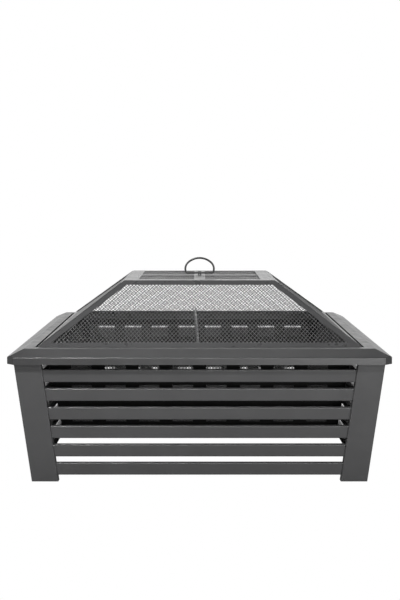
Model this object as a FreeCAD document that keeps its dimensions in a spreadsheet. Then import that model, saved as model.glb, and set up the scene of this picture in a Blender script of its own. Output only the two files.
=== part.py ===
import FreeCAD
import Part
import Sketcher
import math
import os
import re

# Square garden fire pit: a pressed table rim on four tapering sheet legs with slatted sides,
# a punched fire bowl hung in the rim, a log grate inside it and a mesh spark guard on top.
# Millimetres, +Z up, origin on the ground under the centre, front towards -Y.

os.makedirs("parts", exist_ok=True)
doc = FreeCAD.newDocument("FirePit")

DIMENSIONS = [
    ("RimHalf", 430, "rim, centre to outer skirt"),
    ("RimChamfer", 17, "cut on each vertical rim corner"),
    ("RimBottom", 276, "lower edge of the rim skirt"),
    ("RimCrease", 292, "fold between skirt and slope"),
    ("RimTop", 308, "flat table surface"),
    ("FlatHalf", 395, "centre to the fold between slope and flat"),
    ("OpeningHalf", 374, "centre to the inner edge of the flat"),
    ("LedgeHalf", 355, "centre to the inner edge of the ledge"),
    ("LedgeTop", 290, "ledge that carries the bowl"),
    ("Gauge", 2, "steel sheet"),
    ("LegFootHalf", 383.5, "centre to the leg's outer face on the ground"),
    ("LegTopHalf", 416.5, "centre to the leg's outer face at its top"),
    ("LegTop", 286, "top of the legs"),
    ("LegFace", 61, "width of each face of a leg"),
    ("LegReturn", 18, "folded return along each leg edge"),
    ("SlatTop", 262, "upper edge of the highest slat"),
    ("SlatPitch", 43.7, "height from slat to slat"),
    ("SlatHeight", 29, "slat face"),
    ("SlatDepth", 12, "slat flange"),
    ("SlatRecess", 5, "slat face behind the leg face"),
    ("SlatGauge", 1.2, "slat sheet"),
    ("StudHalf", 365.5, "centre to each corner stud"),
    ("StudRadius", 4, "corner stud"),
    ("StudEnd", 276, "lower end of the corner studs"),
    ("NutRadius", 7.5, "corner nut, across corners, halved"),
    ("NutHeight", 6.5, "corner nut"),
    ("PlateInner", 351, "inner edge of the corner plates"),
    ("PlateOuter", 412, "outer edge of the corner plates"),
    ("BowlTopHalf", 349, "bowl wall at the flange"),
    ("BowlFootHalf", 319, "bowl wall at the floor"),
    ("BowlFoot", 103, "underside of the bowl"),
    ("BowlFlangeHalf", 371, "centre to the flange edge"),
    ("WindowWidth", 47, "punched window"),
    ("WindowHeight", 31, "punched window"),
    ("WindowPitch", 77.7, "window spacing along a wall"),
    ("WindowRise", 58.5, "window spacing up a wall"),
    ("WindowSill", 24, "floor to the lowest window, along the wall"),
    ("LinerGauge", 1, "mesh liner"),
    ("LinerEdge", 12, "mesh liner short of the wall edges"),
    ("DrainSpacing", 50, "centre to each drain hole"),
    ("DrainRadius", 5, "drain hole"),
    ("LidHalf", 369, "lid, centre to the lower edge"),
    ("LidBase", 308, "fold between lip and sloping face"),
    ("LidTopHalf", 182.5, "lid, centre to the upper edge"),
    ("LidTop", 446, "top surface of the lid"),
    ("LidWindowLow", 316, "lower edge of a face opening"),
    ("LidWindowHigh", 436, "upper edge of a face opening"),
    ("LidHipStrip", 19, "strip beside each hip, across"),
    ("TopStrip", 29, "strip around the top plate"),
    ("CrossBar", 14, "half the width of the top plate's cross"),
    ("HandleReach", 37, "centre to the widest point of the handle"),
    ("HandleShoulder", 22, "handle bend at its widest point"),
    ("HandleWaist", 10.4, "handle bar up to the widest point"),
    ("HandleRise", 38.4, "handle bar up to the crown"),
    ("HandleCorner", 5, "bend between shoulder and bar"),
    ("HandleAxis", 452, "height of the handle's bar"),
    ("HandleWire", 2.5, "handle wire, halved"),
    ("ClipHalf", 4.5, "half the width of the handle clip"),
    ("ClipWrap", 4, "radius of the clip around the wire"),
    ("ClipFoot", 11, "centre to each end of the clip's foot"),
    ("GrateFoot", 32, "height of the grate's feet"),
    ("GrateHalf", 215, "half the length of the grate"),
    ("RailHalf", 170, "centre to each grate rail"),
    ("RailHeight", 14, "grate rail"),
    ("RailThick", 5, "grate rail"),
    ("BarRadius", 5, "grate bar"),
    ("BarPitch", 50, "grate bar spacing"),
    ("RodRadius", 4, "lifting rod"),
    ("RodFoot", 5, "lifting rod's foot, right of the centre"),
    ("RodLean", 5.3, "degrees that the lifting rod leans to the left"),
    ("RodLength", 188.4, "lifting rod, foot to eye"),
    ("EyeRadius", 4.4, "lifting eye, to the wire's centre"),
    ("EyeWire", 1.3, "lifting eye wire, halved"),
]
FOLD_RADIUS = 3.0
BAR_COUNT = 9
SLAT_ROWS = 6
WINDOW_COLUMNS = 8
WINDOW_ROWS = 3
SIDES = [("front", 0), ("right", 90), ("back", 180), ("left", 270)]
CORNERS = [("front_left", -1, -1), ("front_right", 1, -1), ("back_right", 1, 1), ("back_left", -1, 1)]
UP = FreeCAD.Vector(0, 0, 1)
ACROSS = FreeCAD.Vector(1, 0, 0)

sheet = doc.addObject("Spreadsheet::Sheet", "Dimensions")
for row, (alias, value, meaning) in enumerate(DIMENSIONS, start=1):
    sheet.set("A%d" % row, meaning)
    sheet.set("B%d" % row, str(value))
    sheet.setAlias("B%d" % row, alias)
doc.recompute()
SIZE = {alias: float(getattr(sheet, alias)) for alias, value, meaning in DIMENSIONS}
ALIAS_PATTERN = re.compile(r"\b(" + "|".join(SIZE) + r")\b")
nodes = []


def expression(text):
    """Writes sheet aliases in an expression as references to the sheet."""
    return ALIAS_PATTERN.sub(r"Dimensions.\1", str(text))


def bind(thing, **sizes):
    for name, text in sizes.items():
        thing.setExpression(name, expression(text))
    return thing


def place(thing, x, y, z):
    for axis, text in (("x", x), ("y", y), ("z", z)):
        thing.setExpression("Placement.Base." + axis, expression(text))
    return thing


def node(thing, label, turn=0):
    """Makes an object a named piece, turned about the vertical axis."""
    thing.Label = label
    if turn:
        turned = FreeCAD.Placement(FreeCAD.Vector(), FreeCAD.Rotation(UP, turn))
        thing.Placement = turned.multiply(thing.Placement)
    nodes.append(thing)
    return thing


def box(name, length, width, height, x, y, z):
    made = bind(doc.addObject("Part::Box", name), Length=length, Width=width, Height=height)
    return place(made, x, y, z)


def block(name, half, low, high):
    """A square block centred on the vertical axis."""
    full = "2 * (%s)" % half
    return box(name, full, full, "(%s) - (%s)" % (high, low), "-(%s)" % half, "-(%s)" % half, low)


def slanted(name, low_x, low_out, high_x, high_out, low, high):
    """A block between two rectangles; out is measured towards the front."""
    made = doc.addObject("Part::Wedge", name)
    made.Placement.Rotation = FreeCAD.Rotation(ACROSS, 90)
    return bind(made, Xmin="-(%s)" % low_x, Xmax=low_x, Zmin=low_out[0], Zmax=low_out[1],
                X2min="-(%s)" % high_x, X2max=high_x, Z2min=high_out[0], Z2max=high_out[1],
                Ymin=low, Ymax=high)


def frustum(name, low_half, high_half, low, high):
    """A square block centred on the vertical axis whose sides lean."""
    return slanted(name, low_half, ("-(%s)" % low_half, low_half),
                   high_half, ("-(%s)" % high_half, high_half), low, high)


def cylinder(name, radius, height, x, y, z):
    return place(bind(doc.addObject("Part::Cylinder", name), Radius=radius, Height=height), x, y, z)


def cut(name, base, tool):
    made = doc.addObject("Part::Cut", name)
    made.Base = base
    made.Tool = tool
    return made


def fuse(name, shapes):
    made = doc.addObject("Part::MultiFuse", name)
    made.Shapes = shapes
    return made


def common(name, shapes):
    made = doc.addObject("Part::MultiCommon", name)
    made.Shapes = shapes
    return made


def group(name, things):
    """Separate solids kept as one piece."""
    made = doc.addObject("Part::Compound", name)
    made.Links = things
    return made


def rounded(name, base, rule, radius):
    """Rounds the edges that a rule picks."""
    doc.recompute()
    chosen = [index for index, edge in enumerate(base.Shape.Edges, start=1) if rule(edge)]
    made = doc.addObject("Part::Fillet", name)
    made.Base = base
    made.Edges = [(index, radius, radius) for index in chosen]
    return made


def at_height(edge, height):
    return all(abs(vertex.Point.z - height) < 0.01 for vertex in edge.Vertexes)


def leg_half(height):
    """Centre to the leg's outer face at a height."""
    return "(LegFootHalf + (LegTopHalf - LegFootHalf) * (%s) / LegTop)" % height


def lid_half(height, inset):
    """Centre to the lid's sloping face at a height, less an inset across."""
    fall = "((%s) - LidBase) * (LidHalf - LidTopHalf) / (LidTop - LidBase)" % height
    return "(LidHalf - %s - (%s))" % (fall, inset)


def new_body(name):
    return doc.addObject("PartDesign::Body", name)


def new_sketch(body, name, role):
    made = body.newObject("Sketcher::SketchObject", name)
    planes = [feature for feature in body.Origin.OriginFeatures if feature.Role == role]
    made.AttachmentSupport = [(planes[0], "")]
    made.MapMode = "FlatFace"
    return made


def measured(made, x, y):
    """The point that two expressions give."""
    values = [float(made.evalExpression(expression(text))) for text in (x, y)]
    return FreeCAD.Vector(values[0], values[1], 0)


def hold(made, kind, text, *places):
    """Adds a dimension bound to an expression."""
    value = float(made.evalExpression(expression(text)))
    index = made.addConstraint(Sketcher.Constraint(kind, *places, value))
    made.setExpression("Constraints[%d]" % index, expression(text))


def outline(made, points):
    """Adds a closed outline whose corners are pairs of expressions."""
    corners = [measured(made, x, y) for x, y in points]
    first = made.GeometryCount
    total = len(points)
    for index in range(total):
        made.addGeometry(Part.LineSegment(corners[index], corners[(index + 1) % total]), False)
    for index in range(total):
        following = first + (index + 1) % total
        made.addConstraint(Sketcher.Constraint("Coincident", first + index, 2, following, 1))
    for index, (x, y) in enumerate(points):
        hold(made, "DistanceX", x, -1, 1, first + index, 1)
        hold(made, "DistanceY", y, -1, 1, first + index, 1)


def circle(made, radius, x, y):
    """Adds a circle whose radius and centre are expressions."""
    size = float(made.evalExpression(expression(radius)))
    index = made.addGeometry(Part.Circle(measured(made, x, y), FreeCAD.Vector(0, 0, 1), size), False)
    hold(made, "Radius", radius, index)
    hold(made, "DistanceX", x, -1, 1, index, 3)
    hold(made, "DistanceY", y, -1, 1, index, 3)


def solid_feature(body, kind, profile, length):
    made = body.newObject("PartDesign::" + kind, profile.Name + kind)
    made.Profile = profile
    return bind(made, Length=length)


def make_sector():
    """The quarter of space in front of the axis, out to the diagonals."""
    made = box("Sector", "RimHalf * 2", "RimHalf * 2", "LidTop * 2", 0, 0, 0)
    made.Placement.Rotation = FreeCAD.Rotation(UP, -135)
    return made


# Table rim: a pressed sheet with a sloping edge, a skirt and an inner fold, and a flat ring
# welded under the inner fold as the ledge that holds the bowl.

def rim_outline(name, inset):
    """The rim's outer surface moved inwards and down by an inset."""
    half = "RimHalf - %s" % inset
    crease = "RimCrease - %s" % inset
    slope = frustum(name + "Slope", half, "FlatHalf - %s" % inset, crease, "RimTop - %s" % inset)
    skirt = block(name + "Skirt", half, "RimBottom", crease)
    reach = "((2 * RimHalf - RimChamfer) / sqrt(2) - %s)" % inset
    corners = block(name + "Corners", reach, "RimBottom", "RimTop")
    corners.Placement.Rotation = FreeCAD.Rotation(UP, 45)
    place(corners, 0, "-%s * sqrt(2)" % reach, "RimBottom")
    return common(name + "Outline", [fuse(name + "Block", [slope, skirt]), corners])


def make_rim():
    outer = rim_outline("RimOuter", "0")
    folds = rounded("RimFolds", outer, lambda edge: at_height(edge, SIZE["RimCrease"]), FOLD_RADIUS)
    flat = rounded("RimFlat", folds, lambda edge: at_height(edge, SIZE["RimTop"]), FOLD_RADIUS * 1.5)
    shell = cut("RimShell", flat, rim_outline("RimInner", "Gauge"))
    step = block("RimStep", "OpeningHalf + Gauge", "LedgeTop", "RimTop")
    well = block("RimWell", "OpeningHalf", "LedgeTop - Gauge", "RimTop + Gauge")
    node(cut("RimBody", fuse("RimSheet", [shell, step]), well), "rim")
    ring = block("LedgeRing", "OpeningHalf + Gauge", "LedgeTop - Gauge", "LedgeTop")
    hole = block("LedgeHole", "LedgeHalf", "LedgeTop - 2 * Gauge", "LedgeTop + Gauge")
    node(cut("LedgeBody", ring, hole), "rim_ledge")


# Legs: folded sheet, each face as wide as the other, leaning in towards the ground.

def make_leg(corner, side_x, side_y):
    body = new_body("Leg_" + corner)
    profile = new_sketch(body, "LegProfile_" + corner, "XY_Plane")
    steps = [("0", "0"), ("LegFace", "0"), ("LegFace", "LegReturn"),
             ("LegFace - Gauge", "LegReturn"),
             ("LegFace - Gauge", "Gauge"), ("Gauge", "Gauge"), ("Gauge", "LegFace - Gauge"),
             ("LegReturn", "LegFace - Gauge"), ("LegReturn", "LegFace"), ("0", "LegFace")]
    points = []
    for inward_x, inward_y in steps:
        points.append(("%d * (LegFootHalf - (%s))" % (side_x, inward_x),
                       "%d * (LegFootHalf - (%s))" % (side_y, inward_y)))
    outline(profile, points)
    rise = solid_feature(body, "Pad", profile, "LegTop")
    rise.UseCustomVector = True
    rise.AlongSketchNormal = True
    rise.Direction = FreeCAD.Vector(side_x, side_y, 9)
    rise.setExpression("Direction.x", expression("%d * (LegTopHalf - LegFootHalf)" % side_x))
    rise.setExpression("Direction.y", expression("%d * (LegTopHalf - LegFootHalf)" % side_y))
    rise.setExpression("Direction.z", expression("LegTop"))
    doc.recompute()
    outer = []
    for index, edge in enumerate(rise.Shape.Edges, start=1):
        ground = min((vertex.Point for vertex in edge.Vertexes), key=lambda point: point.z)
        inward_x = SIZE["LegFootHalf"] - side_x * ground.x
        inward_y = SIZE["LegFootHalf"] - side_y * ground.y
        on_face = min(abs(inward_x), abs(inward_y)) < 0.01
        reach = max(inward_x, inward_y)
        at_fold = min(abs(reach), abs(reach - SIZE["LegFace"])) < 0.01
        if on_face and at_fold and edge.Length > SIZE["LegTop"]:
            outer.append("Edge%d" % index)
    folds = body.newObject("PartDesign::Fillet", "LegFolds_" + corner)
    folds.Base = (rise, outer)
    folds.Radius = FOLD_RADIUS * 0.6
    node(body, "leg_" + corner)


# Slats: shallow channels, open towards the bowl, welded between the returns of two legs.

def make_slat(side, turn, row):
    name = "Slat_%s_%d" % (side, row + 1)
    high = "(SlatTop - %d * SlatPitch)" % row
    low = "(%s - SlatHeight)" % high
    sizes = []
    for height in (low, high):
        reach = "%s - LegFace" % leg_half(height)
        face = "%s - SlatRecess" % leg_half(height)
        sizes.append((reach, face))
    outer = slanted(name + "Outer", sizes[0][0], (sizes[0][1] + " - SlatDepth", sizes[0][1]),
                    sizes[1][0], (sizes[1][1] + " - SlatDepth", sizes[1][1]), low, high)
    folds = rounded(name + "Folds", outer, along_slat_face, FOLD_RADIUS * 0.8)
    inner = slanted(name + "Inner", sizes[0][0] + " + Gauge",
                    (sizes[0][1] + " - 2 * SlatDepth", sizes[0][1] + " - SlatGauge"),
                    sizes[1][0] + " + Gauge",
                    (sizes[1][1] + " - 2 * SlatDepth", sizes[1][1] + " - SlatGauge"),
                    low + " + SlatGauge", high + " - SlatGauge")
    node(cut(name, folds, inner), "slat_%s_%d" % (side, row + 1), turn)


def along_slat_face(edge):
    """True for a level edge of the face of a front slat."""
    first, last = edge.Vertexes[0].Point, edge.Vertexes[-1].Point
    lean = (SIZE["LegTopHalf"] - SIZE["LegFootHalf"]) / SIZE["LegTop"]
    face = SIZE["SlatRecess"] - SIZE["LegFootHalf"] - lean * first.z
    return max(abs(first.y - face), abs(last.y - face)) < 0.1


# Corner fixings: a plate welded on each leg, held up to the ledge by a welded stud and a nut.

def make_fixings():
    plates, holes, studs, nuts, bores = [], [], [], [], []
    width = "PlateOuter - PlateInner"
    ledge = "(LedgeTop - Gauge)"
    for corner, side_x, side_y in CORNERS:
        x = "%d * StudHalf" % side_x
        y = "%d * StudHalf" % side_y
        near_x = "PlateInner" if side_x > 0 else "-PlateOuter"
        near_y = "PlateInner" if side_y > 0 else "-PlateOuter"
        plate = box("Plate_" + corner, width, width, ledge + " - LegTop", near_x, near_y, "LegTop")
        hole = cylinder("PlateHole_" + corner, "StudRadius + 0.3", "3 * Gauge", x, y, "LegTop - Gauge")
        stud = cylinder("Stud_" + corner, "StudRadius", ledge + " - StudEnd", x, y, "StudEnd")
        nut = doc.addObject("Part::Prism", "Nut_" + corner)
        nut.Polygon = 6
        bind(nut, Circumradius="NutRadius", Height="NutHeight")
        place(nut, x, y, "LegTop - NutHeight")
        bore = cylinder("NutBore_" + corner, "StudRadius + 0.05", "2 * NutHeight", x, y,
                        "LegTop - 1.5 * NutHeight")
        plates.append(plate)
        holes.append(hole)
        studs.append(stud)
        nuts.append(nut)
        bores.append(bore)
    node(cut("CornerPlates", group("Plates", plates), group("PlateHoles", holes)), "corner_plates")
    node(group("CornerStuds", studs), "corner_studs")
    node(cut("CornerNuts", group("Nuts", nuts), group("NutBores", bores)), "corner_nuts")


# Fire bowl: a flat floor and four leaning punched walls, each lined with mesh, under a flange.

def wall_frame(turn, depth):
    """Stands a piece drawn flat up along a bowl wall; depth is measured in from the outside."""
    rise = SIZE["LedgeTop"] - SIZE["BowlFoot"]
    lean = math.degrees(math.atan2(SIZE["BowlTopHalf"] - SIZE["BowlFootHalf"], rise))
    foot = FreeCAD.Vector(0, -SIZE["BowlFootHalf"], SIZE["BowlFoot"])
    stand = FreeCAD.Placement(foot, FreeCAD.Rotation(ACROSS, 90 + lean))
    inward = FreeCAD.Placement(FreeCAD.Vector(0, 0, -depth), FreeCAD.Rotation())
    turned = FreeCAD.Placement(FreeCAD.Vector(), FreeCAD.Rotation(UP, turn))
    return turned.multiply(stand).multiply(inward)


WALL_LEAN = "(BowlTopHalf - BowlFootHalf) / (LedgeTop - BowlFoot)"
WALL_SLOPE = "sqrt((LedgeTop - BowlFoot)^2 + (BowlTopHalf - BowlFootHalf)^2)"
WALL_LENGTH = "(%s - Gauge * %s)" % (WALL_SLOPE, WALL_LEAN)


def make_wall(side, turn):
    body = new_body("Wall_" + side)
    profile = new_sketch(body, "WallProfile_" + side, "XY_Plane")
    trim = "0" if side in ("front", "back") else "1.1 * Gauge"
    foot = "BowlFootHalf - %s" % trim
    head = "BowlTopHalf - %s" % trim
    outline(profile, [("-(%s)" % foot, "0"), (foot, "0"),
                      (head, WALL_LENGTH), ("-(%s)" % head, WALL_LENGTH)])
    plate = solid_feature(body, "Pad", profile, "Gauge")
    column = new_sketch(body, "WindowColumn_" + side, "XY_Plane")
    left = "-0.5 * (%d * WindowPitch + WindowWidth)" % (WINDOW_COLUMNS - 1)
    right = left + " + WindowWidth"
    for row in range(WINDOW_ROWS):
        low = "WindowSill + %d * WindowRise" % row
        high = low + " + WindowHeight"
        outline(column, [(left, low), (right, low), (right, high), (left, high)])
    windows = body.newObject("PartDesign::Pocket", "Windows_" + side)
    windows.Profile = column
    windows.Type = "ThroughAll"
    windows.Reversed = True
    pattern = body.newObject("PartDesign::LinearPattern", "WindowRows_" + side)
    pattern.Originals = [windows]
    pattern.Direction = (column, ["H_Axis"])
    pattern.Occurrences = WINDOW_COLUMNS
    bind(pattern, Length="%d * WindowPitch" % (WINDOW_COLUMNS - 1))
    body.Tip = pattern
    doc.recompute()
    if pattern.Shape.Volume > plate.Shape.Volume * 0.8:
        raise RuntimeError("the wall windows did not cut")
    body.Placement = wall_frame(turn, SIZE["Gauge"])
    node(body, "bowl_wall_" + side)


def make_liner(side, turn):
    body = new_body("Liner_" + side)
    profile = new_sketch(body, "LinerProfile_" + side, "XY_Plane")
    low = "LinerEdge"
    high = WALL_LENGTH + " - LinerEdge"
    foot = "BowlFootHalf - 2 * LinerEdge"
    head = "BowlTopHalf - 2 * LinerEdge"
    outline(profile, [("-(%s)" % foot, low), (foot, low), (head, high), ("-(%s)" % head, high)])
    solid_feature(body, "Pad", profile, "LinerGauge")
    body.Placement = wall_frame(turn, SIZE["Gauge"] + SIZE["LinerGauge"])
    node(body, "bowl_liner_" + side)


def make_bowl():
    for side, turn in SIDES:
        make_wall(side, turn)
        make_liner(side, turn)
    plate = block("FloorPlate", "BowlFootHalf - 1.2 * Gauge", "BowlFoot", "BowlFoot + Gauge")
    drains = []
    for side in (-1, 1):
        drains.append(cylinder("Drain_%d" % (side + 1), "DrainRadius", "4 * Gauge",
                               "%d * DrainSpacing" % side, 0, "BowlFoot - Gauge"))
    node(cut("BowlFloor", plate, group("Drains", drains)), "bowl_floor")
    flange = block("FlangePlate", "BowlFlangeHalf", "LedgeTop", "LedgeTop + Gauge")
    mouth = block("FlangeMouth", "BowlTopHalf - Gauge", "LedgeTop - Gauge", "LedgeTop + 2 * Gauge")
    node(cut("BowlFlange", flange, mouth), "bowl_flange")


# Spark guard: four mitred faces with a lip below and a mesh panel behind, closed by a plate.

LID_INSET = "(Gauge / sin(atan((LidTop - LidBase) / (LidHalf - LidTopHalf))))"
MESH_INSET = "(1.5 * %s)" % LID_INSET


def lid_shell(name, low, high, outside, inside):
    """The lid's sloping walls between two heights and two insets."""
    outer = frustum(name + "Outer", lid_half(low, outside), lid_half(high, outside), low, high)
    inner = frustum(name + "Inner", lid_half(low, inside), lid_half(high, inside), low, high)
    return cut(name + "Walls", outer, inner)


def make_lid_face(side, turn):
    name = "LidFace_" + side
    slope = lid_shell(name, "LidBase", "LidTop", "0", LID_INSET)
    lip = block(name + "Lip", "LidHalf", "LedgeTop + Gauge", "LidBase")
    behind = block(name + "Behind", "LidHalf - Gauge", "LedgeTop", "LidBase + 1")
    walls = fuse(name + "Sheet", [slope, cut(name + "Skirt", lip, behind)])
    quarter = common(name + "Quarter", [walls, sector])
    window = slanted(name + "Window", lid_half("LidWindowLow", "LidHipStrip"),
                     ("LidTopHalf / 2", "RimHalf"), lid_half("LidWindowHigh", "LidHipStrip"),
                     ("LidTopHalf / 2", "RimHalf"), "LidWindowLow", "LidWindowHigh")
    node(cut(name, quarter, window), "lid_face_" + side, turn)


def make_lid_mesh(side, turn):
    name = "LidMesh_" + side
    walls = lid_shell(name, "LidWindowLow - 5", "LidWindowHigh + 5", LID_INSET, MESH_INSET)
    node(common(name, [walls, sector]), "lid_mesh_" + side, turn)


def make_lid_top():
    half = "(LidTopHalf - 1.05 * %s)" % LID_INSET
    plate = block("TopPlate", half, "LidTop - Gauge", "LidTop")
    windows = []
    width = "%s - TopStrip - CrossBar" % half
    for corner, side_x, side_y in CORNERS:
        x = "CrossBar" if side_x > 0 else "TopStrip - %s" % half
        y = "CrossBar" if side_y > 0 else "TopStrip - %s" % half
        window = box("TopWindow_" + corner, width, width, "4 * Gauge", x, y, "LidTop - 2 * Gauge")
        windows.append(window)
    node(cut("LidTopPlate", plate, group("TopWindows", windows)), "lid_top_plate")
    mesh = block("LidTopMesh", "(%s - TopStrip / 2)" % half, "LidTop - 1.5 * Gauge", "LidTop - Gauge")
    node(mesh, "lid_top_mesh")


# Handle: a closed D of wire, its straight bar wrapped by a clip on the centre of the lid.

def make_handle():
    body = new_body("Handle")
    path = new_sketch(body, "HandlePath", "XZ_Plane")
    axis, shoulder, bend = SIZE["HandleAxis"], SIZE["HandleShoulder"], SIZE["HandleCorner"]
    shoulder_x = SIZE["HandleReach"] - shoulder
    rise = SIZE["HandleRise"] - SIZE["HandleWaist"]
    crown = (shoulder_x ** 2 + rise ** 2 - shoulder ** 2) / (2 * (rise - shoulder))
    drop = SIZE["HandleWaist"] - bend
    corner_x = shoulder_x + math.sqrt((shoulder - bend) ** 2 - drop ** 2)
    low = -math.atan2(drop, corner_x - shoulder_x)
    high = math.atan2(crown - rise, shoulder_x)
    waist = axis + SIZE["HandleWaist"]
    turn = math.pi
    arcs = [(-turn / 2, low, corner_x, axis + bend, bend),
            (low, high, shoulder_x, waist, shoulder),
            (high, turn - high, 0, waist + rise - crown, crown),
            (turn - high, turn - low, -shoulder_x, waist, shoulder),
            (turn - low, turn * 1.5, -corner_x, axis + bend, bend)]
    upward = FreeCAD.Vector(0, 0, 1)
    left, middle, right = [FreeCAD.Vector(x, axis, 0) for x in (-corner_x, 0, corner_x)]
    path.addGeometry(Part.LineSegment(middle, right), False)
    for start, end, x, z, radius in arcs:
        round_edge = Part.Circle(FreeCAD.Vector(x, z, 0), upward, radius)
        path.addGeometry(Part.ArcOfCircle(round_edge, start, end), False)
    path.addGeometry(Part.LineSegment(left, middle), False)
    total = len(arcs) + 2
    for index in range(total):
        path.addConstraint(Sketcher.Constraint("Coincident", index, 2, (index + 1) % total, 1))
    for index, size in ((1, "HandleCorner"), (2, "HandleShoulder"), (4, "HandleShoulder"),
                        (5, "HandleCorner")):
        hold(path, "Radius", size, index)
    section = new_sketch(body, "HandleSection", "YZ_Plane")
    circle(section, "HandleWire", "0", "HandleAxis")
    loop = body.newObject("PartDesign::AdditivePipe", "HandleLoop")
    loop.Profile = section
    loop.Spine = (path, [])
    node(body, "handle_loop")


def lying(made):
    """Turns a round piece to lie along X."""
    made.Placement.Rotation = FreeCAD.Rotation(FreeCAD.Vector(0, 1, 0), 90)
    return made


def make_clip():
    width = "2 * ClipHalf"
    wrap = lying(cylinder("ClipWrap", "ClipWrap", width, "-ClipHalf", 0, "HandleAxis"))
    neck = box("ClipNeck", width, "2 * ClipWrap", "HandleAxis - LidTop",
               "-ClipHalf", "-ClipWrap", "LidTop")
    foot = box("ClipFoot", width, "2 * ClipFoot", "Gauge", "-ClipHalf", "-ClipFoot", "LidTop")
    bore = lying(cylinder("ClipBore", "HandleWire + 0.05", "4 * ClipHalf",
                          "-2 * ClipHalf", 0, "HandleAxis"))
    node(cut("HandleClip", fuse("ClipSheet", [wrap, neck, foot]), bore), "handle_clip")


# Log grate: round bars across two rails on feet, with a lifting rod that ends in an eye.

def make_grate():
    floor = "(BowlFoot + Gauge)"
    rail_low = "(%s + GrateFoot)" % floor
    bar_axis = "(%s + RailHeight + BarRadius)" % rail_low
    rails, feet, bars = [], [], []
    for side in (-1, 1):
        x = "%d * RailHalf - RailThick / 2" % side
        rail = box("Rail_%d" % (side + 1), "RailThick", "2 * GrateHalf", "RailHeight",
                   x, "-GrateHalf", rail_low)
        rails.append(rail)
        for end in (-1, 1):
            y = "%d * (GrateHalf - 12) - 12" % end
            foot = box("Foot_%d_%d" % (side + 1, end + 1), "RailThick", 24, "GrateFoot", x, y, floor)
            feet.append(foot)
    for index in range(BAR_COUNT):
        y = "%d * BarPitch" % (index - BAR_COUNT // 2)
        bar = cylinder("Bar_%d" % (index + 1), "BarRadius", "2 * GrateHalf", "-GrateHalf", y, bar_axis)
        bars.append(lying(bar))
    node(group("GrateRails", rails), "grate_rails")
    node(group("GrateFeet", feet), "grate_feet")
    node(group("GrateBars", bars), "grate_bars")
    plate_low = "%s + BarRadius" % bar_axis
    plate = box("GratePlate", 40, "2 * BarPitch + 30", "2 * Gauge", -20, "-BarPitch - 15", plate_low)
    node(plate, "grate_centre_plate")
    make_rod("(%s + 2 * Gauge)" % plate_low)


def make_rod(low):
    """The lifting rod, which leans a little and is trimmed to stand flat on its plate."""
    lean = FreeCAD.Rotation(FreeCAD.Vector(0, 1, 0), -SIZE["RodLean"])
    buried = cylinder("RodStart", "RodRadius", "3 * Gauge", "RodFoot + 3 * Gauge * sin(RodLean)", 0,
                      "%s - 3 * Gauge * cos(RodLean)" % low)
    buried.Placement.Rotation = lean
    rod = cylinder("Rod", "RodRadius", "RodLength", "RodFoot", 0, low)
    rod.Placement.Rotation = lean
    eye = bind(doc.addObject("Part::Torus", "Eye"), Radius1="EyeRadius", Radius2="EyeWire")
    eye.Placement.Rotation = FreeCAD.Rotation(ACROSS, 90)
    reach = "(RodLength + EyeRadius)"
    place(eye, "RodFoot - %s * sin(RodLean)" % reach, 0, "%s + %s * cos(RodLean)" % (low, reach))
    trim = box("RodTrim", "10 * RodRadius", "10 * RodRadius", "10 * Gauge",
               "RodFoot - 5 * RodRadius", "-5 * RodRadius", "%s - 10 * Gauge" % low)
    node(cut("LiftRod", fuse("RodWithEye", [buried, rod, eye]), trim), "grate_lift_rod")


sector = make_sector()
make_rim()
for corner, side_x, side_y in CORNERS:
    make_leg(corner, side_x, side_y)
for side, turn in SIDES:
    for row in range(SLAT_ROWS):
        make_slat(side, turn, row)
make_fixings()
make_bowl()
for side, turn in SIDES:
    make_lid_face(side, turn)
    make_lid_mesh(side, turn)
make_lid_top()
make_handle()
make_clip()
make_grate()
doc.recompute()

for thing in doc.Objects:
    if "Invalid" in thing.State or "Error" in thing.State:
        raise RuntimeError("%s failed: %s" % (thing.Name, thing.State))
for piece in nodes:
    if piece.Shape.isNull() or not piece.Shape.isValid() or piece.Shape.Volume <= 0:
        raise RuntimeError("%s has no valid shape" % piece.Label)
for piece in nodes:
    piece.Shape.exportStep("parts/%s.step" % piece.Label)
    print("%-24s %12.0f mm3  %d solids" % (piece.Label, piece.Shape.Volume, len(piece.Shape.Solids)))
print(len(nodes), "pieces")
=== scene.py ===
import math

import bmesh
import bpy
import numpy as np
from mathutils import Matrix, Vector


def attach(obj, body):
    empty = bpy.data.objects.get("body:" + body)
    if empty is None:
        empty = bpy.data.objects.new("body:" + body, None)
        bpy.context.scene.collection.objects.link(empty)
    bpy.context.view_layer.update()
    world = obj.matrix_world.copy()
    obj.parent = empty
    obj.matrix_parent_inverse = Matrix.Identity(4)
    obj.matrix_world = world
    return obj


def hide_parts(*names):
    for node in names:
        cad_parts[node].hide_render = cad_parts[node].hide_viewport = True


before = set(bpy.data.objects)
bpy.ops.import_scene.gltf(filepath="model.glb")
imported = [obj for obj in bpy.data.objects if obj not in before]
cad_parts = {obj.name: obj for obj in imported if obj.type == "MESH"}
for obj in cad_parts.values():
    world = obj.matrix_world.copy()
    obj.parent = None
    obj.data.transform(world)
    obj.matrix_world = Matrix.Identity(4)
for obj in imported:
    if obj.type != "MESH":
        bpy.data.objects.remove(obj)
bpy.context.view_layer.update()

MM = 0.001
SIDES = ("front", "right", "back", "left")
# Diamond width and height, then strand width and thickness.
GUARD_PITCH = (9.05 * MM, 14.05 * MM)
GUARD_STRAND = (1.0 * MM, 0.7 * MM)
GUARD_TILT = math.radians(-14)
LINER_PITCH = (7.0 * MM, 7.0 * MM)
LINER_WIRE = (1.3 * MM, 1.3 * MM)
SEAM_RADIUS = 1.2 * MM
SCREW_INSET = 2.6 * MM
SCREW_HEAD = (1.9 * MM, 1.1 * MM)
ROOM_DIM = 0.02
BACKDROP_LEVEL = 1.3
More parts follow.
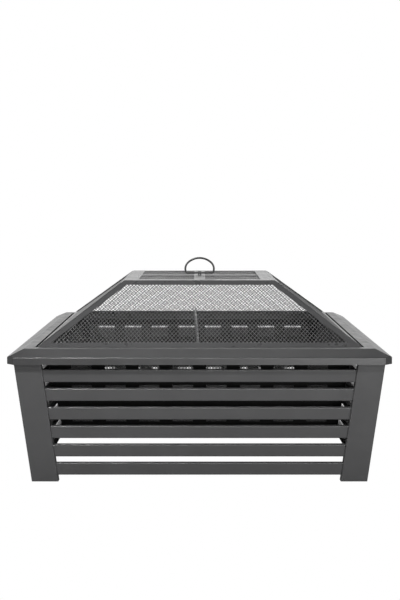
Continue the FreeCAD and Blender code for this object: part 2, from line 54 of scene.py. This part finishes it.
# Name, place, aimed at, size and watts.
LAMPS = (
    ("key", (-0.5, -1.25, 1.2), (0, 0, 0.25), (0.12, 0.12), 20),
    ("front", (1.0, -2.2, 0.4), (0, 0, 0.25), (1.3, 0.4), 24),
    ("fill", (0, -2.1, 1.0), (0, 0, 0.25), (0.16, 0.16), 10),
    ("overhead", (0, 0.3, 2.4), (0, 0, 0.3), (1.6, 1.0), 1),
    ("rear", (0, 2.2, 2.1), (0, 0, 0.3), (1.8, 0.8), 24),
    ("left", (-2.2, 0.6, 1.5), (0, 0, 0.3), (1.2, 0.8), 40),
    ("right", (2.2, 0.6, 1.5), (0, 0, 0.3), (1.2, 0.8), 40),
)


# ---------------------------------------------------------------- materials

class Surface:
    """A Principled material built from noise layers in the object's own coordinates."""

    def __init__(self, name, colour, roughness, metallic=0.0, specular=0.5):
        self.material = bpy.data.materials.new(name)
        self.material.use_nodes = True
        self.tree = self.material.node_tree
        self.shader = self.tree.nodes["Principled BSDF"]
        self.shader.inputs["Base Color"].default_value = (*colour, 1.0)
        self.shader.inputs["Roughness"].default_value = roughness
        self.shader.inputs["Metallic"].default_value = metallic
        self.shader.inputs["Specular IOR Level"].default_value = specular
        self.colour = colour
        self.coordinates = self.tree.nodes.new("ShaderNodeTexCoord").outputs["Object"]

    def noise(self, size, detail=3.0, stretch=(1.0, 1.0, 1.0)):
        """Noise whose features are about size metres across."""
        mapping = self.tree.nodes.new("ShaderNodeMapping")
        mapping.inputs["Scale"].default_value = stretch
        self.tree.links.new(self.coordinates, mapping.inputs["Vector"])
        made = self.tree.nodes.new("ShaderNodeTexNoise")
        made.inputs["Scale"].default_value = 1.0 / size
        made.inputs["Detail"].default_value = detail
        self.tree.links.new(mapping.outputs["Vector"], made.inputs["Vector"])
        return made.outputs["Fac"]

    def spread(self, source, low, high, low_in=0.3, high_in=0.7):
        """Maps a noise value to a range."""
        made = self.tree.nodes.new("ShaderNodeMapRange")
        made.inputs["From Min"].default_value = low_in
        made.inputs["From Max"].default_value = high_in
        made.inputs["To Min"].default_value = low
        made.inputs["To Max"].default_value = high
        self.tree.links.new(source, made.inputs["Value"])
        return made.outputs["Result"]

    def tint(self, source, light, dark):
        """Shades the base colour between two brightnesses of itself."""
        made = self.tree.nodes.new("ShaderNodeMix")
        made.data_type = "RGBA"
        made.inputs["A"].default_value = (*[c * dark for c in self.colour], 1.0)
        made.inputs["B"].default_value = (*[c * light for c in self.colour], 1.0)
        self.tree.links.new(source, made.inputs["Factor"])
        self.tree.links.new(made.outputs["Result"], self.shader.inputs["Base Color"])

    def paint_outside_shade(self, shade_share):
        """Paints shade: darkens the base colour on level faces' undersides and on faces turned from the
        axis.
        """
        geometry = self.tree.nodes.new("ShaderNodeNewGeometry")
        axial = self.tree.nodes.new("ShaderNodeVectorMath")
        axial.operation = "MULTIPLY"
        axial.inputs[1].default_value = (-1.0, -1.0, 0.0)
        self.tree.links.new(self.coordinates, axial.inputs[0])
        lifted = self.tree.nodes.new("ShaderNodeVectorMath")
        lifted.operation = "ADD"
        lifted.inputs[1].default_value = (0.0, 0.0, 0.5)
        self.tree.links.new(axial.outputs["Vector"], lifted.inputs[0])
        facing = self.tree.nodes.new("ShaderNodeVectorMath")
        facing.operation = "DOT_PRODUCT"
        self.tree.links.new(geometry.outputs["Normal"], facing.inputs[0])
        self.tree.links.new(lifted.outputs["Vector"], facing.inputs[1])
        level = self.spread(facing.outputs["Value"], shade_share, 1.0, -0.05, 0.05)
        made = self.tree.nodes.new("ShaderNodeVectorMath")
        made.operation = "SCALE"
        socket = self.shader.inputs["Base Color"]
        self.tree.links.new(socket.links[0].from_socket, made.inputs["Vector"])
        self.tree.links.new(level, made.inputs["Scale"])
        self.tree.links.new(made.outputs["Vector"], socket)

    def roughen(self, source):
        self.tree.links.new(source, self.shader.inputs["Roughness"])

    def bump(self, layers):
        """Chains bump layers of (noise, height in metres)."""
        normal = None
        for source, height in layers:
            made = self.tree.nodes.new("ShaderNodeBump")
            made.inputs["Strength"].default_value = 1.0
            made.inputs["Distance"].default_value = height
            self.tree.links.new(source, made.inputs["Height"])
            if normal is not None:
                self.tree.links.new(normal, made.inputs["Normal"])
            normal = made.outputs["Normal"]
        self.tree.links.new(normal, self.shader.inputs["Normal"])


def powder_coat(name, grey, roughness, grain=1.0):
    """Satin powder coat: orange peel, fine grain and slow changes of gloss."""
    made = Surface(name, (grey, grey, grey * 1.02), roughness)
    cloud = made.noise(90 * MM, 4.0)
    speck = made.noise(0.5 * MM, 2.0)
    made.tint(made.spread(cloud, 0.0, 1.0), 1.07, 0.93)
    made.roughen(made.spread(made.noise(30 * MM, 5.0), roughness - 0.05, roughness + 0.07))
    made.bump([(made.noise(2.6 * MM, 1.0), 0.03 * MM * grain), (speck, 0.012 * MM * grain)])
    return made.material


def sooted_black(name, grey, outside_shade):
    """Matt heat-resistant paint, darker on faces turned from the axis and on undersides as painted shade.
    """
    made = Surface(name, (grey, grey, grey), 0.62, specular=0.12)
    cloud = made.spread(made.noise(22 * MM, 6.0), 0.0, 1.0)
    made.tint(cloud, 1.2, 0.85)
    # Painted shade: outer faces and undersides keep only part of the base colour.
    made.paint_outside_shade(outside_shade)
    made.roughen(made.spread(made.noise(9 * MM, 4.0), 0.52, 0.74))
    made.bump([(made.noise(1.2 * MM, 3.0), 0.03 * MM)])
    return made.material


def coated_wire(name, grey, roughness):
    """Painted wire, slightly uneven in tone and gloss."""
    made = Surface(name, (grey, grey, grey), roughness)
    made.tint(made.spread(made.noise(6 * MM, 4.0), 0.0, 1.0), 1.25, 0.8)
    made.roughen(made.spread(made.noise(3 * MM, 3.0), roughness - 0.08, roughness + 0.1))
    made.bump([(made.noise(0.7 * MM, 2.0), 0.02 * MM)])
    return made.material


def cast_black(name):
    """Coarse mill-scaled black bar."""
    made = Surface(name, (0.03, 0.03, 0.03), 0.6)
    made.tint(made.spread(made.noise(14 * MM, 6.0), 0.0, 1.0), 1.5, 0.7)
    made.roughen(made.spread(made.noise(5 * MM, 5.0), 0.48, 0.75))
    made.bump([(made.noise(2.2 * MM, 5.0), 0.12 * MM)])
    return made.material


def drawn_steel(name, grey, roughness, stretch=(1.0, 1.0, 1.0)):
    """Plain or plated steel with fine draw lines."""
    made = Surface(name, (grey, grey, grey * 1.01), roughness, metallic=1.0)
    lines = made.noise(0.8 * MM, 3.0, stretch)
    made.tint(made.spread(made.noise(12 * MM, 4.0), 0.0, 1.0), 1.08, 0.85)
    made.roughen(made.spread(lines, roughness - 0.06, roughness + 0.12))
    made.bump([(lines, 0.01 * MM)])
    return made.material


def finish(material, *nodes):
    """Gives CAD nodes a material."""
    for name in nodes:
        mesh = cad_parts[name].data
        for index in range(len(mesh.materials)):
            mesh.materials[index] = material


# ---------------------------------------------------------------- mesh panels

def panel_corners(node):
    """A flat CAD plate's middle, its own axes and its corners in them, anticlockwise."""
    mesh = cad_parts[node].data
    points = np.array([tuple(v.co) for v in mesh.vertices])
    by_area = sorted(mesh.polygons, key=lambda polygon: polygon.area)
    normal = np.array(by_area[-1].normal)
    level = points @ normal
    middle = (level.min() + level.max()) / 2
    thickness = level.max() - level.min()
    corners = []
    for point in points[level > middle]:
        if all(np.linalg.norm(point - other) > thickness for other in corners):
            corners.append(point)
    centre = np.mean(corners, axis=0)
    upward = Vector((0, 0, 1)) if abs(normal[2]) < 0.95 else Vector((0, 1, 0))
    facing = Vector(normal) if normal[2] > 0.95 or normal @ centre > 0 else -Vector(normal)
    across = upward.cross(facing).normalized()
    upward = facing.cross(across).normalized()
    arms = [Vector(corner) - Vector(centre) for corner in corners]
    flat = [(arm.dot(across), arm.dot(upward)) for arm in arms]
    flat.sort(key=lambda p: math.atan2(p[1], p[0]))
    origin = Vector(centre) + Vector(normal) * (middle - float(centre @ normal))
    return origin, across, upward, facing, flat


def clip_line(point, direction, outline):
    """The part of a line inside a convex outline given anticlockwise, or None."""
    low, high = -1e9, 1e9
    for index, start in enumerate(outline):
        end = outline[(index + 1) % len(outline)]
        inward = (start[1] - end[1], end[0] - start[0])
        depth = (point[0] - start[0]) * inward[0] + (point[1] - start[1]) * inward[1]
        rate = direction[0] * inward[0] + direction[1] * inward[1]
        if abs(rate) < 1e-12:
            if depth < 0:
                return None
            continue
        if rate > 0:
            low = max(low, -depth / rate)
        else:
            high = min(high, -depth / rate)
    return (low, high) if high - low > 1e-4 else None


def add_strand(bm, start, end, facing, width, thickness, tilt):
    """A flat strand between two points, tilted about its own line."""
    along = (end - start).normalized()
    side = along.cross(facing).normalized()
    turned_side = side * math.cos(tilt) + facing * math.sin(tilt)
    turned_out = facing * math.cos(tilt) - side * math.sin(tilt)
    rings = []
    for place in (start, end):
        ring = []
        for a, b in ((-1, -1), (1, -1), (1, 1), (-1, 1)):
            ring.append(bm.verts.new(place + turned_side * a * width / 2 + turned_out * b * thickness / 2))
        rings.append(ring)
    for k in range(4):
        bm.faces.new((rings[0][k], rings[0][(k + 1) % 4], rings[1][(k + 1) % 4], rings[1][k]))
    bm.faces.new(list(reversed(rings[0])))
    bm.faces.new(rings[1])


def diamond_panel(name, node, body, material, pitch, strand, tilt):
    """Replaces a CAD plate by two crossing families of strands."""
    origin, across, upward, facing, outline = panel_corners(node)
    wide, tall = pitch
    width, thickness = strand
    reach_x = max(abs(p[0]) for p in outline)
    reach_y = max(abs(p[1]) for p in outline)
    bm = bmesh.new()
    for lean, layer in ((1, 0.25), (-1, -0.25)):
        direction = (lean * wide, tall)
        spread = reach_x + reach_y * wide / tall
        count = int(spread / wide) + 1
        for index in range(-count, count + 1):
            span = clip_line((index * wide, 0.0), direction, outline)
            if span is None:
                continue
            ends = []
            for t in span:
                x = index * wide + direction[0] * t
                y = direction[1] * t
                ends.append(origin + across * x + upward * y + facing * thickness * layer)
            add_strand(bm, ends[0], ends[1], facing, width, thickness, tilt * lean)
    return new_piece(name, bm, body, material, replaced=node)


def new_piece(name, bm, body, material, replaced=None, smooth=False):
    mesh = bpy.data.meshes.new(name)
    bmesh.ops.recalc_face_normals(bm, faces=bm.faces)
    bm.to_mesh(mesh)
    bm.free()
    for polygon in mesh.polygons:
        polygon.use_smooth = smooth
    piece = bpy.data.objects.new(name, mesh)
    bpy.context.scene.collection.objects.link(piece)
    mesh.materials.append(material)
    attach(piece, body)
    if replaced:
        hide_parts(replaced)
    return piece


def full_turn(sides):
    return [2 * math.pi * j / sides for j in range(sides)]


def bridge(bm, loops):
    """Joins each loop of vertices to the next one."""
    for low, high in zip(loops, loops[1:]):
        for j in range(len(low)):
            k = (j + 1) % len(low)
            bm.faces.new((low[j], low[k], high[k], high[j]))


def add_bead(bm, start, end, radius, sides=10, rings=24):
    """A weld or folded seam as a round bead with slight ripples and closed ends."""
    along = (end - start).normalized()
    one = along.orthogonal().normalized()
    other = along.cross(one)
    spokes = [one * math.cos(t) + other * math.sin(t) for t in full_turn(sides)]
    loops = []
    for k in range(rings + 1):
        swell = radius * (0.94 + 0.06 * math.cos(5 * k)) * (0.6 if k in (0, rings) else 1.0)
        centre = start.lerp(end, k / rings)
        loops.append([bm.verts.new(centre + spoke * swell) for spoke in spokes])
    bridge(bm, loops)
    bm.faces.new(list(reversed(loops[0])))
    bm.faces.new(loops[-1])


def add_pan_head(bm, centre, radius, height, sides=24):
    """A screw's pan head with a cross recess, standing on a level face and open below."""
    def vertex(turn, reach, rise):
        place = (math.cos(turn) * reach * radius, math.sin(turn) * reach * radius, rise * height)
        return bm.verts.new(centre + Vector(place))

    outline = ((1.0, 0.0), (1.0, 0.35), (0.93, 0.65), (0.78, 0.88), (0.5, 1.0))
    loops = [[vertex(t, reach, rise) for t in full_turn(sides)] for reach, rise in outline]
    loops.append([vertex(t, 0.16 if j % 6 else 0.42, 0.62) for j, t in enumerate(full_turn(sides))])
    bridge(bm, loops)
    bm.faces.new(loops[-1])


def node_points(node):
    return [v.co.copy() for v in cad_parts[node].data.vertices]


def add_hip_seams():
    """Closed seams along the guard's four hips."""
    points = node_points("lid_face_front")
    top = max(p.z for p in points)
    upper = max((p for p in points if p.z > top - 2 * MM), key=lambda p: p.x - p.y)
    lower = max(points, key=lambda p: p.x - p.y)
    bm = bmesh.new()
    for x in (-1, 1):
        for y in (-1, 1):
            ends = [Vector((x * abs(p.x), y * abs(p.y), p.z)) for p in (lower, upper)]
            add_bead(bm, ends[0].lerp(ends[1], 0.02), ends[0].lerp(ends[1], 0.99), SEAM_RADIUS)
    return new_piece("hip_seams", bm, "lid", lid_coat, smooth=True)


def add_clip_screws():
    """Two screws through the foot of the handle's clip, in front of and behind the handle."""
    points = node_points("handle_clip")
    reach = max(abs(p.y) for p in points)
    level = max(p.z for p in points if abs(p.y) > reach - 0.5 * MM)
    bm = bmesh.new()
    for y in (-1, 1):
        add_pan_head(bm, Vector((0, y * (reach - SCREW_INSET), level)), *SCREW_HEAD)
    return new_piece("clip_screws", bm, "lid", zinc_coat)


# ---------------------------------------------------------------- the object

# The rim's powder coat is the frame's coat made darker: painted shade on the rim.
shaded_rim_coat = powder_coat("rim_coat_satin_shaded", 0.034, 0.34)
frame_coat = powder_coat("frame_coat_satin", 0.042, 0.36)
lid_coat = powder_coat("lid_coat_satin", 0.05, 0.30)
# The last number is the part of the base colour left on the bowl's outer faces and undersides as painted
# shade.
bowl_coat = sooted_black("bowl_coat_matt", 0.013, 0.3)
liner_coat = coated_wire("liner_wire_matt", 0.03, 0.5)
guard_coat = coated_wire("guard_mesh_satin", 0.10, 0.40)
grate_coat = cast_black("grate_scale")
rod_coat = drawn_steel("rod_drawn", 0.38, 0.42, (1.0, 1.0, 0.05))
zinc_coat = drawn_steel("zinc_plated", 0.6, 0.35)
handle_coat = powder_coat("handle_coat_black", 0.02, 0.38, 0.6)

finish(shaded_rim_coat, "rim", "rim_ledge")
finish(frame_coat, *[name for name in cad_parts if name.startswith(("leg_", "slat_"))], "corner_plates")
finish(zinc_coat, "corner_studs", "corner_nuts")
finish(bowl_coat, "bowl_floor", "bowl_flange", *["bowl_wall_" + side for side in SIDES])
finish(grate_coat, "grate_rails", "grate_feet", "grate_bars", "grate_centre_plate")
finish(rod_coat, "grate_lift_rod")
finish(lid_coat, "lid_top_plate", *["lid_face_" + side for side in SIDES])
finish(handle_coat, "handle_loop", "handle_clip")

for side in SIDES:
    diamond_panel("guard_mesh_" + side, "lid_mesh_" + side, "lid", guard_coat,
                  GUARD_PITCH, GUARD_STRAND, GUARD_TILT)
    diamond_panel("liner_mesh_" + side, "bowl_liner_" + side, "bowl", liner_coat,
                  LINER_PITCH, LINER_WIRE, 0.0)
diamond_panel("guard_mesh_top", "lid_top_mesh", "lid", guard_coat,
              GUARD_PITCH, GUARD_STRAND, GUARD_TILT)
add_hip_seams()
add_clip_screws()


# ---------------------------------------------------------------- stage, light and camera

def white_where_seen(tree, lighting, seen, output):
    """Shows one shader to the camera and lights the scene with another."""
    blend = tree.nodes.new("ShaderNodeMixShader")
    tree.links.new(tree.nodes.new("ShaderNodeLightPath").outputs["Is Camera Ray"], blend.inputs["Fac"])
    tree.links.new(lighting, blend.inputs[1])
    tree.links.new(seen, blend.inputs[2])
    tree.links.new(blend.outputs["Shader"], tree.nodes[output].inputs["Surface"])


def add_floor():
    """A mid-grey sheet, seen as plain white."""
    mesh = bpy.data.meshes.new("floor")
    reach = 30.0
    corners = [(-reach, -reach, 0), (reach, -reach, 0), (reach, reach, 0), (-reach, reach, 0)]
    mesh.from_pydata(corners, [], [(0, 1, 2, 3)])
    floor = bpy.data.objects.new("floor", mesh)
    bpy.context.scene.collection.objects.link(floor)
    pale = bpy.data.materials.new("pale_floor")
    pale.use_nodes = True
    shader = pale.node_tree.nodes["Principled BSDF"]
    shader.inputs["Base Color"].default_value = (0.4, 0.4, 0.4, 1.0)
    shader.inputs["Roughness"].default_value = 0.9
    shader.inputs["Specular IOR Level"].default_value = 0.0
    white = pale.node_tree.nodes.new("ShaderNodeEmission")
    white_where_seen(pale.node_tree, shader.outputs["BSDF"], white.outputs["Emission"], "Material Output")
    mesh.materials.append(pale)


def add_softbox(name, place, target, size, power):
    light = bpy.data.lights.new(name, "AREA")
    light.shape = "RECTANGLE"
    light.size, light.size_y = size
    light.energy = power
    lamp = bpy.data.objects.new(name, light)
    lamp.visible_camera = False
    bpy.context.scene.collection.objects.link(lamp)
    lamp.location = place
    lamp.rotation_euler = (Vector(target) - Vector(place)).to_track_quat("-Z", "Y").to_euler()


def add_world():
    """A dim studio with a bright backdrop behind the object, seen as plain white."""
    world = bpy.data.worlds.new("studio")
    world.use_nodes = True
    tree = world.node_tree
    room = tree.nodes["Background"]
    split = tree.nodes.new("ShaderNodeSeparateXYZ")
    tree.links.new(tree.nodes.new("ShaderNodeTexCoord").outputs["Generated"], split.inputs["Vector"])

    def ramp(source, low_in, high_in, low, high):
        made = tree.nodes.new("ShaderNodeMapRange")
        made.interpolation_type = "SMOOTHSTEP"
        made.inputs["From Min"].default_value = low_in
        made.inputs["From Max"].default_value = high_in
        made.inputs["To Min"].default_value = low
        made.inputs["To Max"].default_value = high
        tree.links.new(source, made.inputs["Value"])
        return made.outputs["Result"]

    def multiply(one, other):
        made = tree.nodes.new("ShaderNodeMath")
        made.operation = "MULTIPLY"
        tree.links.new(one, made.inputs[0])
        tree.links.new(other, made.inputs[1])
        return made.outputs["Value"]

    depth = ramp(split.outputs["Y"], 0.3, 0.8, 0.0, BACKDROP_LEVEL)
    height = ramp(split.outputs["Z"], 0.15, 0.4, 1.0, 0.0)
    dim = tree.nodes.new("ShaderNodeMath")
    dim.operation = "ADD"
    tree.links.new(multiply(depth, height), dim.inputs[0])
    dim.inputs[1].default_value = ROOM_DIM
    tree.links.new(dim.outputs["Value"], room.inputs["Strength"])
    seen = tree.nodes.new("ShaderNodeBackground")
    room.inputs["Color"].default_value = (1.0, 1.0, 1.0, 1.0)
    seen.inputs["Color"].default_value = (1.0, 1.0, 1.0, 1.0)
    white_where_seen(tree, room.outputs["Background"], seen.outputs["Background"], "World Output")
    bpy.context.scene.world = world


def add_camera():
    camera = bpy.data.cameras.new("camera")
    camera.sensor_fit = "VERTICAL"
    camera.sensor_height = 36.0
    camera.lens = 65.41
    camera.clip_end = 100.0
    holder = bpy.data.objects.new("camera", camera)
    bpy.context.scene.collection.objects.link(holder)
    holder.location = (0.001, -2.8255, 0.6432)
    holder.rotation_euler = (math.radians(90 - 5.304), 0, 0)
    bpy.context.scene.camera = holder


add_floor()
add_world()
for lamp in LAMPS:
    add_softbox(*lamp)
add_camera()
bpy.context.scene.view_settings.view_transform = "Standard"
